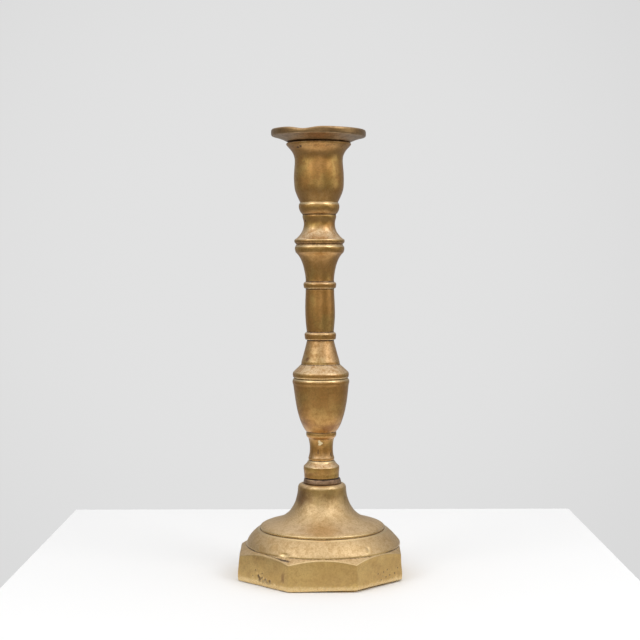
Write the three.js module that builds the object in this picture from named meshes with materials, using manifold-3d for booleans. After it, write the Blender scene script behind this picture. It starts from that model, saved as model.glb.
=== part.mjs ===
// Altar candlestick: an eight-sided hollow foot, turned brass sections stacked on it and drawn together
// by an iron tie rod, and a loose drip pan in the mouth of the candle cup.
// Millimetres, +Z up. The origin is the centre of the face that the foot stands on.
import * as THREE from 'three';
import { mergeVertices } from 'three/addons/utils/BufferGeometryUtils.js';
import Module from 'manifold-3d';

// Fits and facets
const GAP = 0.3; // left between neighbouring pieces
const FACETS = 32; // around every turned surface
const WASHER_FACETS = 24;
const ROD_FACETS = 16;
const CURVE_STEPS = 5; // along every curved stretch of an outline
const PAST = 5; // how far a cutting body runs past the face that it cuts

// Foot
const SIDES = 8;
const FOOT_ACROSS_FLATS = 92.0; // at the resting face
const SKIRT_DRAFT = 0.075; // how much the flats lean inwards for each unit of height
const SKIRT_WALL = 3.2;
const FOOT_HEIGHT = 52.3;
const DOME_EDGE_RADIUS = 44.0;
const DOME_EDGE_HEIGHT = 18.4;
const SHOULDER_SLOPE = 0.64; // fall of the shoulder outside the dome, for each unit of radius
const SAUCER_RADIUS = 35.45;
const SAUCER_LIP_HEIGHT = 27.5;
const NECK_RADIUS = 13.7;
const NECK_ROOF_HEIGHT = 43.5; // underside of the solid top of the neck
const NECK_HOLLOW_RADIUS = 10.0;

// Turned sections, from the foot up
const COLLAR_RADIUS = 10.6;
const COLLAR_HEIGHT = 2.7;
const COLLAR_EDGE = 0.5;
const VASE_HEIGHT = 56.2;
const DRUM_RADIUS = 9.9;
const VASE_RADIUS = 15.75;
const STEM_HEIGHT = 75.9;
const SHOULDER_RADIUS = 16.05;
const LOWER_RING_RADIUS = 9.05;
const UPPER_RING_RADIUS = 9.4;
const BARREL_RADIUS = 8.42;
const FLARE_RING_RADIUS = 14.05;
const CUP_HEIGHT = 57.2;
const CUP_RADIUS = 14.1;
const CUP_LIP_RADIUS = 18.5;

// Candle socket and drip pan: the sleeve takes a 22 mm candle
const CUP_FLOOR_HEIGHT = 28.5; // above the cup's own lower face
const CUP_BORE_RADIUS = 11.3;
const SLEEVE_BORE_RADIUS = 11.1;
const SLEEVE_WALL = 0.9;
const SLEEVE_LENGTH = 12.3;
const PAN_RADIUS = 26.8;
const PAN_HEIGHT = 6.9;
const PAN_FLOOR = 2.0; // thickness of the pan's flat floor

// Spigots that centre one section on the next
const SPIGOT_RADIUS = 5.0;
const FOOT_SPIGOT_LENGTH = 7.3;
const VASE_SPIGOT_RADIUS = 6.0;
const STEM_SPIGOT_LENGTH = 4.6;
const CUP_SPIGOT_LENGTH = 4.0;

// Tie rod, washer and nut
const ROD_RADIUS = 3.0;
const ROD_BORE_RADIUS = ROD_RADIUS + GAP;
const ROD_DEPTH_IN_CUP = 18.5;
const ROD_END_BELOW_NUT = 3.0;
const ROD_CHAMFER = 0.6;
const WASHER_RADIUS = 7.0;
const WASHER_THICKNESS = 1.4;
const NUT_ACROSS_FLATS = 10.0;
const NUT_HEIGHT = 5.0;
const NUT_SIDES = 6;

// Height of each piece's lower face
const collarZ = FOOT_HEIGHT + GAP;
const vaseZ = collarZ + COLLAR_HEIGHT + GAP;
const stemZ = vaseZ + VASE_HEIGHT + GAP;
const cupZ = stemZ + STEM_HEIGHT + GAP;
const panZ = cupZ + CUP_HEIGHT + GAP;
const washerZ = NECK_ROOF_HEIGHT - GAP - WASHER_THICKNESS;
const nutZ = washerZ - GAP - NUT_HEIGHT;
const rodZ = nutZ - ROD_END_BELOW_NUT;
const rodTopZ = cupZ + ROD_DEPTH_IN_CUP - GAP;

// An outline starts at a radius and a height and runs anticlockwise, up the outside and down the inside.
function outline(radius, height) {
  const path = new THREE.Path();
  path.moveTo(radius, height);
  return path;
}

// A closed outline swung round the axis, which becomes +Z.
function turned(path, facets = FACETS, start = 0) {
  path.closePath();
  const geometry = new THREE.LatheGeometry(path.getPoints(CURVE_STEPS), facets, start);
  return geometry.rotateX(Math.PI / 2);
}

// A prism with flat sides, its size across flats given at two heights.
function flatSided(sides, bottomFlats, bottomZ, topFlats, topZ) {
  const toCorner = 0.5 / Math.cos(Math.PI / sides);
  const path = outline(0, bottomZ);
  path.lineTo(bottomFlats * toCorner, bottomZ);
  path.lineTo(topFlats * toCorner, topZ);
  path.lineTo(0, topZ);
  return turned(path, sides, Math.PI / sides);
}

const manifold = await Module();
manifold.setup();

function solidOf(geometry) {
  const shape = geometry.clone();
  shape.deleteAttribute('normal');
  shape.deleteAttribute('uv');
  const merged = mergeVertices(shape);
  const mesh = new manifold.Mesh({
    numProp: 3,
    vertProperties: new Float32Array(merged.attributes.position.array),
    triVerts: new Uint32Array(merged.index.array),
  });
  return new manifold.Manifold(mesh);
}

function geometryOf(solid) {
  const mesh = solid.getMesh();
  const geometry = new THREE.BufferGeometry();
  geometry.setAttribute('position', new THREE.BufferAttribute(mesh.vertProperties, 3));
  geometry.setIndex(new THREE.BufferAttribute(mesh.triVerts, 1));
  geometry.computeVertexNormals();
  return geometry;
}

function brass(color, roughness) {
  return new THREE.MeshStandardMaterial({ color, roughness, metalness: 1 });
}

const footBrass = brass('#8f7440', 0.48);
const sectionBrass = brass('#97783f', 0.42);
const panBrass = brass('#8a6d3a', 0.46);
const collarBrass = brass('#7a5f33', 0.5);
const iron = new THREE.MeshStandardMaterial({ color: '#5d554c', roughness: 0.6, metalness: 0.9 });

const candlestick = new THREE.Group();

function place(name, geometry, material, z) {
  const mesh = new THREE.Mesh(geometry, material);
  mesh.name = name;
  mesh.position.z = z;
  candlestick.add(mesh);
}

// The flats are this far apart at a height in the skirt.
function acrossFlats(height, inset = 0) {
  return FOOT_ACROSS_FLATS - 2 * (SKIRT_DRAFT * height + inset);
}

// Outer form of the foot, before its skirt is cut to eight flats.
function footOutside() {
  const edgeDrop = 0.8;
  const shoulderZ = DOME_EDGE_HEIGHT - edgeDrop;
  const pastCorners = FOOT_ACROSS_FLATS * 0.6;
  const path = outline(0, 0);
  path.lineTo(pastCorners, 0);
  path.lineTo(pastCorners, shoulderZ - SHOULDER_SLOPE * (pastCorners - DOME_EDGE_RADIUS));
  path.lineTo(DOME_EDGE_RADIUS + 0.1, shoulderZ);
  path.lineTo(DOME_EDGE_RADIUS, DOME_EDGE_HEIGHT);
  path.bezierCurveTo(41.9, 22.0, 38.2, 25.2, SAUCER_RADIUS + 0.2, SAUCER_LIP_HEIGHT - 0.8);
  path.lineTo(SAUCER_RADIUS - 0.5, SAUCER_LIP_HEIGHT - 0.6);
  path.lineTo(SAUCER_RADIUS, SAUCER_LIP_HEIGHT);
  path.bezierCurveTo(SAUCER_RADIUS, 29.2, 27.9, 30.1, 24.5, 31.6);
  path.bezierCurveTo(17.6, 34.5, NECK_RADIUS + 0.2, 40.8, NECK_RADIUS, FOOT_HEIGHT - 2.2);
  path.quadraticCurveTo(NECK_RADIUS - 0.2, FOOT_HEIGHT - 0.5, 11.4, FOOT_HEIGHT);
  path.lineTo(0, FOOT_HEIGHT);
  return solidOf(turned(path));
}

// Everything hollow in the foot: the bell, the rod's bore and the recess for the vase section's spigot.
function footHollow() {
  const recessRadius = SPIGOT_RADIUS + GAP;
  const recessFloor = vaseZ - FOOT_SPIGOT_LENGTH - GAP;
  const reach = FOOT_ACROSS_FLATS / 2;
  const path = outline(0, -PAST);
  path.lineTo(reach, -PAST);
  path.lineTo(reach, 12.0);
  path.lineTo(41.0, 14.8);
  path.bezierCurveTo(39.2, 18.8, 36.2, 21.8, 33.4, 23.6);
  path.bezierCurveTo(28.0, 25.8, 22.0, 28.4, 18.0, 30.6);
  path.bezierCurveTo(12.6, 33.8, NECK_HOLLOW_RADIUS, 37.0, NECK_HOLLOW_RADIUS, 41.0);
  path.lineTo(NECK_HOLLOW_RADIUS, NECK_ROOF_HEIGHT);
  path.lineTo(ROD_BORE_RADIUS, NECK_ROOF_HEIGHT);
  path.lineTo(ROD_BORE_RADIUS, recessFloor);
  path.lineTo(recessRadius, recessFloor);
  path.lineTo(recessRadius, FOOT_HEIGHT + PAST);
  path.lineTo(0, FOOT_HEIGHT + PAST);
  return solidOf(turned(path));
}

function foot() {
  const top = FOOT_HEIGHT + 2 * PAST;
  const bottom = -2 * PAST;
  const skirt = solidOf(flatSided(SIDES, acrossFlats(bottom), bottom, acrossFlats(top), top));
  const skirtHollow = solidOf(flatSided(
    SIDES,
    acrossFlats(bottom, SKIRT_WALL),
    bottom,
    acrossFlats(top, SKIRT_WALL),
    top,
  ));
  const hollow = footHollow().intersect(skirtHollow);
  return geometryOf(footOutside().intersect(skirt).subtract(hollow));
}

function footCollar() {
  const path = outline(SPIGOT_RADIUS + GAP, 0);
  path.lineTo(COLLAR_RADIUS - COLLAR_EDGE, 0);
  path.quadraticCurveTo(COLLAR_RADIUS, 0, COLLAR_RADIUS, COLLAR_EDGE);
  path.lineTo(COLLAR_RADIUS - 0.2, COLLAR_HEIGHT);
  path.lineTo(SPIGOT_RADIUS + GAP, COLLAR_HEIGHT);
  return turned(path);
}

// Drum, waist with its bead, fillet and vase, with a spigot below and a recess above.
function vaseSection() {
  const recessRadius = VASE_SPIGOT_RADIUS + GAP;
  const recessFloor = VASE_HEIGHT - STEM_SPIGOT_LENGTH;
  const path = outline(ROD_BORE_RADIUS, -FOOT_SPIGOT_LENGTH);
  path.lineTo(SPIGOT_RADIUS, -FOOT_SPIGOT_LENGTH);
  path.lineTo(SPIGOT_RADIUS, 0);
  path.lineTo(DRUM_RADIUS, 0);
  path.lineTo(DRUM_RADIUS, 2.4);
  path.quadraticCurveTo(DRUM_RADIUS + 0.5, 6.4, DRUM_RADIUS + 0.1, 6.6);
  path.bezierCurveTo(8.6, 7.8, 8.4, 8.2, 7.3, 9.4);
  path.lineTo(7.2, 10.0);
  path.quadraticCurveTo(7.5, 10.5, 7.45, 11.3);
  path.bezierCurveTo(6.5, 13.5, 6.1, 18.5, 7.3, 22.4);
  path.lineTo(8.2, 23.3);
  path.quadraticCurveTo(8.95, 25.0, 8.4, 26.1);
  path.bezierCurveTo(13.2, 31.5, 14.8, 43.6, VASE_RADIUS, 52.9);
  path.quadraticCurveTo(VASE_RADIUS + 0.7, 53.6, VASE_RADIUS - 0.3, 54.5);
  path.lineTo(VASE_RADIUS - 0.4, 55.6);
  path.lineTo(VASE_RADIUS - 0.7, VASE_HEIGHT);
  path.lineTo(recessRadius, VASE_HEIGHT);
  path.lineTo(recessRadius, recessFloor);
  path.lineTo(ROD_BORE_RADIUS, recessFloor);
  return turned(path);
}

// A small turned ring on the stem, widest near its upper edge.
function stemRing(path, neckRadius, ringRadius, bottom, top) {
  path.lineTo(neckRadius, bottom);
  path.lineTo(ringRadius - 0.3, bottom + 0.5);
  path.lineTo(ringRadius, top - 0.9);
  path.lineTo(ringRadius - 0.4, top - 0.3);
  path.lineTo(neckRadius, top);
}

// Shoulder, cone, lower ring, barrel, upper ring and flare, with a spigot at each end.
function stemSection() {
  const path = outline(ROD_BORE_RADIUS, GAP - STEM_SPIGOT_LENGTH);
  path.lineTo(VASE_SPIGOT_RADIUS, GAP - STEM_SPIGOT_LENGTH);
  path.lineTo(VASE_SPIGOT_RADIUS, 0);
  path.lineTo(SHOULDER_RADIUS - 0.95, 0);
  path.lineTo(SHOULDER_RADIUS - 0.6, 1.1);
  path.quadraticCurveTo(SHOULDER_RADIUS + 0.4, 2.1, SHOULDER_RADIUS - 0.2, 2.8);
  path.bezierCurveTo(15.9, 3.3, 12.8, 6.4, 11.1, 7.9);
  path.lineTo(10.85, 8.5);
  path.lineTo(10.85, 9.6);
  path.bezierCurveTo(10.5, 10.8, 8.3, 18.4, 7.7, 21.4);
  stemRing(path, 7.7, LOWER_RING_RADIUS, 22.0, 26.6);
  path.bezierCurveTo(BARREL_RADIUS + 0.7, 40.2, BARREL_RADIUS - 0.3, 42.6, 8.1, 50.2);
  stemRing(path, 8.1, UPPER_RING_RADIUS, 51.1, 55.1);
  path.bezierCurveTo(7.8, 57.0, 9.1, 68.2, 13.4, 71.4);
  path.quadraticCurveTo(FLARE_RING_RADIUS + 0.3, 73.5, FLARE_RING_RADIUS - 0.2, 74.9);
  path.lineTo(FLARE_RING_RADIUS - 0.7, 75.5);
  path.lineTo(FLARE_RING_RADIUS - 0.7, STEM_HEIGHT);
  path.lineTo(SPIGOT_RADIUS, STEM_HEIGHT);
  path.lineTo(SPIGOT_RADIUS, STEM_HEIGHT + CUP_SPIGOT_LENGTH);
  path.lineTo(ROD_BORE_RADIUS, STEM_HEIGHT + CUP_SPIGOT_LENGTH);
  return turned(path);
}

// Ring, hollow neck, bead and cup. The candle stands on the cup's flat floor.
function candleCup() {
  const recessRadius = SPIGOT_RADIUS + GAP;
  const sleeveSeat = CUP_HEIGHT - SLEEVE_LENGTH - GAP;
  const sleeveFit = SLEEVE_BORE_RADIUS + SLEEVE_WALL + GAP;
  const path = outline(recessRadius, 0);
  path.lineTo(FLARE_RING_RADIUS - 0.65, 0);
  path.lineTo(FLARE_RING_RADIUS - 0.1, 0.5);
  path.quadraticCurveTo(FLARE_RING_RADIUS + 0.4, 1.6, FLARE_RING_RADIUS + 0.1, 2.6);
  path.lineTo(13.2, 3.2);
  path.bezierCurveTo(10.4, 5.4, 9.3, 8.0, 8.85, 11.9);
  path.bezierCurveTo(8.7, 12.4, 9.8, 14.4, 9.45, 16.8);
  path.bezierCurveTo(11.2, 19.2, 11.9, 20.2, 11.3, 23.5);
  path.bezierCurveTo(14.2, 30.8, 13.9, 30.3, CUP_RADIUS, 37.0);
  path.bezierCurveTo(CUP_RADIUS, 41.7, 13.6, 44.8, 13.6, 47.4);
  path.bezierCurveTo(13.8, 52.6, 17.3, 54.4, CUP_LIP_RADIUS, 56.8);
  path.lineTo(CUP_LIP_RADIUS - 0.1, CUP_HEIGHT);
  path.lineTo(sleeveFit, CUP_HEIGHT);
  path.lineTo(sleeveFit, sleeveSeat);
  path.lineTo(CUP_BORE_RADIUS, sleeveSeat - 1);
  path.lineTo(CUP_BORE_RADIUS, CUP_FLOOR_HEIGHT);
  path.lineTo(0, CUP_FLOOR_HEIGHT);
  path.lineTo(0, ROD_DEPTH_IN_CUP);
  path.lineTo(ROD_BORE_RADIUS, ROD_DEPTH_IN_CUP);
  path.lineTo(ROD_BORE_RADIUS, CUP_SPIGOT_LENGTH + 0.1);
  path.lineTo(recessRadius, CUP_SPIGOT_LENGTH + 0.1);
  return turned(path);
}

// Dished pan with a thick rim, and the sleeve below it that stands in the cup's mouth.
function dripPan() {
  const sleeveRadius = SLEEVE_BORE_RADIUS + SLEEVE_WALL;
  const round = 0.6;
  const path = outline(SLEEVE_BORE_RADIUS, -SLEEVE_LENGTH);
  path.lineTo(sleeveRadius, -SLEEVE_LENGTH);
  path.lineTo(sleeveRadius, 0);
  path.lineTo(CUP_LIP_RADIUS - 0.5, 0);
  path.quadraticCurveTo(21.0, 1.9, PAN_RADIUS - round, 3.2);
  path.quadraticCurveTo(PAN_RADIUS, 3.5, PAN_RADIUS, 4.1);
  path.lineTo(PAN_RADIUS, PAN_HEIGHT - round);
  path.quadraticCurveTo(PAN_RADIUS, PAN_HEIGHT, PAN_RADIUS - round, PAN_HEIGHT);
  path.lineTo(PAN_RADIUS - 1.6, PAN_HEIGHT - 0.2);
  path.quadraticCurveTo(PAN_RADIUS - 2.4, PAN_HEIGHT - 1.4, 18.7, 2.4);
  path.lineTo(13.0, PAN_FLOOR);
  path.lineTo(SLEEVE_BORE_RADIUS, PAN_FLOOR);
  return turned(path);
}

function tieRod() {
  const length = rodTopZ - rodZ;
  const path = outline(0, 0);
  path.lineTo(ROD_RADIUS - ROD_CHAMFER, 0);
  path.lineTo(ROD_RADIUS, ROD_CHAMFER);
  path.lineTo(ROD_RADIUS, length - ROD_CHAMFER);
  path.lineTo(ROD_RADIUS - ROD_CHAMFER, length);
  path.lineTo(0, length);
  return turned(path, ROD_FACETS);
}

function tieWasher() {
  const path = outline(ROD_BORE_RADIUS, 0);
  path.lineTo(WASHER_RADIUS, 0);
  path.lineTo(WASHER_RADIUS, WASHER_THICKNESS);
  path.lineTo(ROD_BORE_RADIUS, WASHER_THICKNESS);
  return turned(path, WASHER_FACETS);
}

function tieNut() {
  const corner = 0.5 * NUT_ACROSS_FLATS / Math.cos(Math.PI / NUT_SIDES);
  const hexagon = new THREE.Shape();
  for (let k = 0; k < NUT_SIDES; k += 1) {
    const angle = k * 2 * Math.PI / NUT_SIDES;
    const point = new THREE.Vector2(corner * Math.cos(angle), corner * Math.sin(angle));
    if (k === 0) {
      hexagon.moveTo(point.x, point.y);
    } else {
      hexagon.lineTo(point.x, point.y);
    }
  }
  hexagon.closePath();
  const bore = new THREE.Path();
  bore.absarc(0, 0, ROD_BORE_RADIUS, 0, 2 * Math.PI, true);
  hexagon.holes.push(bore);
  return new THREE.ExtrudeGeometry(hexagon, {
    depth: NUT_HEIGHT,
    bevelEnabled: false,
    curveSegments: ROD_FACETS / 2,
  });
}

place('foot', foot(), footBrass, 0);
place('foot_collar', footCollar(), collarBrass, collarZ);
place('vase_section', vaseSection(), sectionBrass.clone(), vaseZ);
place('stem_section', stemSection(), sectionBrass.clone(), stemZ);
place('candle_cup', candleCup(), sectionBrass.clone(), cupZ);
place('drip_pan', dripPan(), panBrass, panZ);
place('tie_rod', tieRod(), iron.clone(), rodZ);
place('tie_washer', tieWasher(), iron.clone(), washerZ);
place('tie_nut', tieNut(), iron.clone(), nutZ);

export default candlestick;
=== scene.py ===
import math

import bpy
import numpy as np
from mathutils import Matrix, Vector, noise


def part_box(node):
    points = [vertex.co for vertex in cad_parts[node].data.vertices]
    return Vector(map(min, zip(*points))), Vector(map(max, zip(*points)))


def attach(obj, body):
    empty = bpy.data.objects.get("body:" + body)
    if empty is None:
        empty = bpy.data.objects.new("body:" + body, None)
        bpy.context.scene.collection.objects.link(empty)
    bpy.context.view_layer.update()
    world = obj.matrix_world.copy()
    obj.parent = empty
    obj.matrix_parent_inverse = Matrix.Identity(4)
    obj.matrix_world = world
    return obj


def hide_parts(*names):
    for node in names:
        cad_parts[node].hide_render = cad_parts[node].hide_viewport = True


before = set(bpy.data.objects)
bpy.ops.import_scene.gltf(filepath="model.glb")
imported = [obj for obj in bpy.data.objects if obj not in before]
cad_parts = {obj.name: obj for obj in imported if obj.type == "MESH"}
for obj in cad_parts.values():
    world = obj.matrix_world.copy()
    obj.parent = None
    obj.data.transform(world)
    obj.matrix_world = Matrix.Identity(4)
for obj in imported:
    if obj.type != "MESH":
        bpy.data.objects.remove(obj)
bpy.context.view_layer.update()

MM = 0.001

# Mesh resolution, in millimetres or in vertices round the axis
FINE = 0.05          # spacing along an outline before it is sampled
STEP = 0.32          # vertex spacing along what is seen
HIDDEN = 2.5         # vertex spacing along what is never seen
AROUND = 168         # vertices round a turned piece
FOOT_AROUND = 480    # vertices round the foot

# How the CAD pieces fit together
GAP = 0.3            # left between them; the sections seen here meet across it
SEAT = GAP - 0.02    # how far they reach into it
FOOT_SPIGOT_LENGTH = 7.3
SLEEVE_LENGTH = 12.3


def low(node):
    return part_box(node)[0].z / MM


def high(node):
    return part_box(node)[1].z / MM


# The foot's top, and the height that each other piece's outline starts from
foot_top = high("foot")
collar_z = low("foot_collar")
vase_z = low("vase_section") + FOOT_SPIGOT_LENGTH
stem_z = high("vase_section") + GAP
cup_z = low("candle_cup")
pan_z = low("drip_pan") + SLEEVE_LENGTH
rod_z = low("tie_rod")
washer_z = low("tie_washer")
nut_z = low("tie_nut")

# How far the stacked sections have drifted sideways, as (height, shift towards +X)
SWAY = (
    (30, -0.3), (50, -0.45), (60, -0.7), (105, -0.85),
    (118, -1.03), (152, -1.32), (180, -1.47), (250, -2.0),
)

# Wear that an outline's own shape calls for, grime with painted shade in its grooves and rubbing with painted
# highlights on its edges, as (reach in millimetres, gain, threshold, most)
TURNED_GROOVES = (0.8, 2.0, 0.0, 0.7)
TURNED_EDGES = (0.45, -3.6, 0.2, 0.8)
CAST_GROOVES = (0.8, 1.5, 0.0, 0.55)
CAST_EDGES = (0.5, -3.2, 0.1, 0.8)
EVEN_RADIUS = 3.0    # towards the axis, surfaces are less and less uneven from this radius in


# ---------------------------------------------------------------- outlines

class Outline:
    """A path of (radius, height) that runs up the outside of a piece and down its inside."""

    def __init__(self, radius, height):
        self.end = np.array([radius, height], float)
        self.points = [self.end[None]]
        self.steps = [np.array([STEP])]

    def _add(self, points, step):
        self.end = points[-1]
        self.points.append(points)
        self.steps.append(np.full(len(points), step))
        return self

    def line(self, radius, height, step=STEP):
        end = np.array([radius, height], float)
        count = max(1, round(float(np.linalg.norm(end - self.end)) / FINE))
        t = np.linspace(0, 1, count + 1)[1:, None]
        return self._add(self.end * (1 - t) + end * t, step)

    def bend(self, r1, z1, r2, z2, r3, z3, step=STEP):
        a, b, c, d = self.end, np.array([r1, z1]), np.array([r2, z2]), np.array([r3, z3])
        length = sum(float(np.linalg.norm(q - p)) for p, q in ((a, b), (b, c), (c, d)))
        t = np.linspace(0, 1, max(2, round(length / FINE)) + 1)[1:, None]
        u = 1 - t
        return self._add(a * u ** 3 + 3 * b * u ** 2 * t + 3 * c * u * t ** 2 + d * t ** 3, step)

    def curve(self, r1, z1, r2, z2, step=STEP):
        a, b, c = self.end, np.array([r1, z1]), np.array([r2, z2])
        q, s = a + (b - a) * 2 / 3, c + (b - c) * 2 / 3
        return self.bend(*q, *s, *c, step=step)

    def arrays(self):
        return np.concatenate(self.points), np.concatenate(self.steps)


def evenly(points, spacing, steps=None):
    """Points at one spacing along a path, with the vertex spacing asked for at each."""
    length = np.concatenate([[0], np.cumsum(np.linalg.norm(np.diff(points, axis=0), axis=1))])
    at = np.linspace(0, length[-1], max(3, round(length[-1] / spacing)) + 1)
    even = np.stack([np.interp(at, length, points[:, k]) for k in (0, 1)], 1)
    wanted = None if steps is None else steps[np.searchsorted(length, at).clip(0, len(steps) - 1)]
    return even, wanted


def softened(points, width, closed):
    """The path with its corners worn round, over about this width."""
    reach = int(math.ceil(3 * width / FINE))
    weights = np.exp(-0.5 * (np.arange(-reach, reach + 1) * FINE / width) ** 2)
    weights /= weights.sum()
    if closed:
        padded = np.concatenate([points[-reach - 1:-1], points, points[1:reach + 1]])
    else:
        start = 2 * points[0] - points[1:reach + 1][::-1]
        end = 2 * points[-1] - points[-reach - 1:-1][::-1]
        padded = np.concatenate([start, points, end])
    return np.stack([np.convolve(padded[:, k], weights, "valid") for k in (0, 1)], 1)


def relief(points, reach, closed):
    """How hollow (positive) or proud (negative) a path is at each point, seen over this reach."""
    k = max(1, round(reach / FINE))
    if closed:
        ring = points[:-1]
        before, after = np.roll(ring, k, 0), np.roll(ring, -k, 0)
        near, far = np.roll(ring, 1, 0), np.roll(ring, -1, 0)
    else:
        ring = points
        index = np.arange(len(ring))
        before, after = ring[(index - k).clip(0)], ring[(index + k).clip(None, len(ring) - 1)]
        near, far = ring[(index - 1).clip(0)], ring[(index + 1).clip(None, len(ring) - 1)]
    along = far - near
    along /= np.maximum(np.linalg.norm(along, axis=1, keepdims=True), 1e-9)
    outward = np.stack([along[:, 1], -along[:, 0]], 1)
    value = np.einsum("ij,ij->i", (before + after) / 2 - ring, outward) / reach
    return np.concatenate([value, value[:1]]) if closed else value


def wear_of_shape(points, closed, reach, gain, threshold, most):
    return (gain * relief(points, reach, closed) - threshold).clip(0, most)


def profile(outline, rounding, closed):
    """Vertex radii and heights of an outline, and how deep in a groove or out on an edge each is."""
    points, steps = outline.arrays()
    points, steps = evenly(points, FINE, steps)
    points = softened(points, rounding, closed)
    groove = wear_of_shape(points, closed, *TURNED_GROOVES)
    edge = wear_of_shape(points, closed, *TURNED_EDGES)
    travelled = np.concatenate([[0], np.cumsum(FINE / steps[1:])])
    count = max(8, round(travelled[-1]))
    at = np.linspace(0, travelled[-1], count + 1)
    index = np.arange(len(points))
    where = np.interp(at, travelled, index)
    sampled = [np.interp(where, index, column) for column in (points[:, 0], points[:, 1], groove, edge)]
    if closed:
        sampled = [column[:-1] for column in sampled]
    return sampled


# ------------------------------------------------------------------- meshes

class Skin:
    """A grid of vertices, profile by angle, in millimetres in the frame, with its wear, dirt and painted
    light.
    """

    def __init__(self, radius, height, angle, groove, edge, lift):
        shape = np.broadcast(radius, angle[None]).shape
        self.radius = np.broadcast_to(radius, shape).copy()
        self.height = np.broadcast_to(height, shape) + lift
        self.angle = np.broadcast_to(angle[None], shape)
        self.groove = np.broadcast_to(groove, shape).copy()
        self.edge = np.broadcast_to(edge, shape).copy()
        self.stain = np.zeros(shape)
        self.glint = np.zeros(shape)
        self.aside = 0.0

    def points(self):
        x = self.radius * np.cos(self.angle) + self.aside
        y = self.radius * np.sin(self.angle)
        return np.stack([x, y, self.height], -1)

    def uneven(self, size, amount, seed=0.0):
        """Pushes the surface in and out a little, as hand finishing leaves it."""
        flat = (self.points().reshape(-1, 3) / size + seed).tolist()
        value = np.array([noise.noise(Vector(p)) for p in flat]).reshape(self.radius.shape)
        self.radius += amount * value * np.clip(self.radius / EVEN_RADIUS, 0, 1)

    def near(self, height, tall, azimuth=None, across=None):
        """How near each vertex is to a height, or to a place at that height: 1 there, fading to 0.

        Azimuth 0 faces -Y, and 90 faces +X.
        """
        upwards = (self.height - height) / tall
        if azimuth is None:
            return np.exp(-upwards ** 2)
        turn = np.radians(azimuth - 90)
        swing = (self.angle - turn + math.pi) % (2 * math.pi) - math.pi
        sideways = swing * self.radius / across
        return np.exp(-(sideways ** 2 + upwards ** 2))

    def dent(self, height, tall, depth, azimuth, across):
        self.radius -= depth * self.near(height, tall, azimuth, across)

    def mark(self, layer, height, tall, amount, *place):
        """Adds to one layer of wear, dirt and painted light, all the way round or at the place (azimuth,
        across).
        """
        values = getattr(self, layer)
        values += amount * self.near(height, tall, *place)
        np.clip(values, -1, 1, out=values)

    def marks(self, rows, base=0.0):
        """Lays on rows of wear, dirt and painted light, their heights measured from base."""
        for layer, height, *extent in rows:
            self.mark(layer, base + height, *extent)


def swayed(points):
    heights, shifts = zip(*SWAY)
    points[..., 0] += np.interp(points[..., 2], heights, shifts)
    return points


def mesh_of(name, skin, closed):
    """A mesh from a grid. A closed profile makes a ring of rings; an open one starts and ends on the axis."""
    points = swayed(skin.points())
    rows, columns = points.shape[:2]
    layers = {key: getattr(skin, key) for key in ("groove", "edge", "stain", "glint")}
    if closed:
        vertices = points.reshape(-1, 3)
        values = {key: layer.reshape(-1) for key, layer in layers.items()}
        first, second = np.arange(rows), (np.arange(rows) + 1) % rows
        caps = []
    else:
        body = slice(1, rows - 1)
        poles = np.stack([points[0].mean(0), points[-1].mean(0)])
        vertices = np.concatenate([points[body].reshape(-1, 3), poles])
        values = {
            key: np.concatenate([layer[body].reshape(-1), [layer[0, 0], layer[-1, 0]]])
            for key, layer in layers.items()
        }
        rows -= 2
        first, second = np.arange(rows - 1), np.arange(1, rows)
        start, end = rows * columns, rows * columns + 1
        around = np.arange(columns)
        onward = (around + 1) % columns
        top = (rows - 1) * columns
        caps = [(start, b, a) for a, b in zip(around.tolist(), onward.tolist())]
        caps += [(end, top + a, top + b) for a, b in zip(around.tolist(), onward.tolist())]
    column = np.arange(columns)
    nextcolumn = (column + 1) % columns
    quads = np.stack([
        first[:, None] * columns + column[None],
        first[:, None] * columns + nextcolumn[None],
        second[:, None] * columns + nextcolumn[None],
        second[:, None] * columns + column[None],
    ], -1).reshape(-1, 4)
    mesh = bpy.data.meshes.new(name)
    mesh.from_pydata((vertices * MM).tolist(), [], quads.tolist() + caps)
    mesh.shade_smooth()
    for key, value in values.items():
        mesh.attributes.new(key, "FLOAT", "POINT").data.foreach_set("value", value.astype(np.float32))
    mesh.update()
    piece = bpy.data.objects.new(name, mesh)
    bpy.context.scene.collection.objects.link(piece)
    return piece


def turned(outline, lift, rounding=0.16, closed=True, around=AROUND):
    """The skin of a turned piece, its corners rounded over about this width."""
    radius, height, groove, edge = profile(outline, rounding, closed)
    angle = np.arange(around) * 2 * math.pi / around
    return Skin(radius[:, None], height[:, None], angle, groove[:, None], edge[:, None], lift)


# ---------------------------------------------------------------- materials

def map_range(tree, value, start, end, low_value=0.0, high_value=1.0, kind="SMOOTHSTEP"):
    node = tree.nodes.new("ShaderNodeMapRange")
    node.interpolation_type = kind
    tree.links.new(value, node.inputs["Value"])
    node.inputs["From Min"].default_value = start
    node.inputs["From Max"].default_value = end
    node.inputs["To Min"].default_value = low_value
    node.inputs["To Max"].default_value = high_value
    return node.outputs["Result"]


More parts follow.
